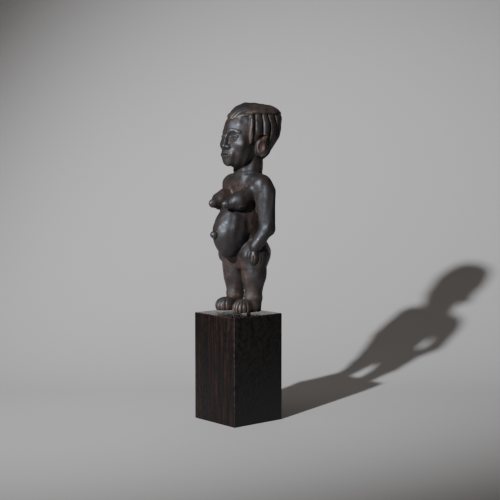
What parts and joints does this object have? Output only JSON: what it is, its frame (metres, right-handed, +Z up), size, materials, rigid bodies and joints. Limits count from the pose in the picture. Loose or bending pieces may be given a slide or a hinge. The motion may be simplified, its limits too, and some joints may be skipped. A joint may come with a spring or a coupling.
{
  "type": "maternity figure",
  "caption": "Standing carved wooden figure of a pregnant woman, arms at the sides, held just clear of a tall square wooden block by a steel pin.",
  "frame": {"origin": "centre of the block's underside", "axes": "+Z up through the figure, the figure faces -Y, its left hand is at +X"},
  "size_m": [0.0638, 0.0692, 0.255],
  "materials": {
    "dark_hardwood": "satin, polished by handling, warm brown where it is rubbed",
    "block_wood": "fine straight grain, satin",
    "pin_steel": "plain"
  },
  "bodies": {
    "root": {"figure": "dark_hardwood", "plinth_block": "block_wood", "mounting_pin": "pin_steel"}
  },
  "joints": []
}
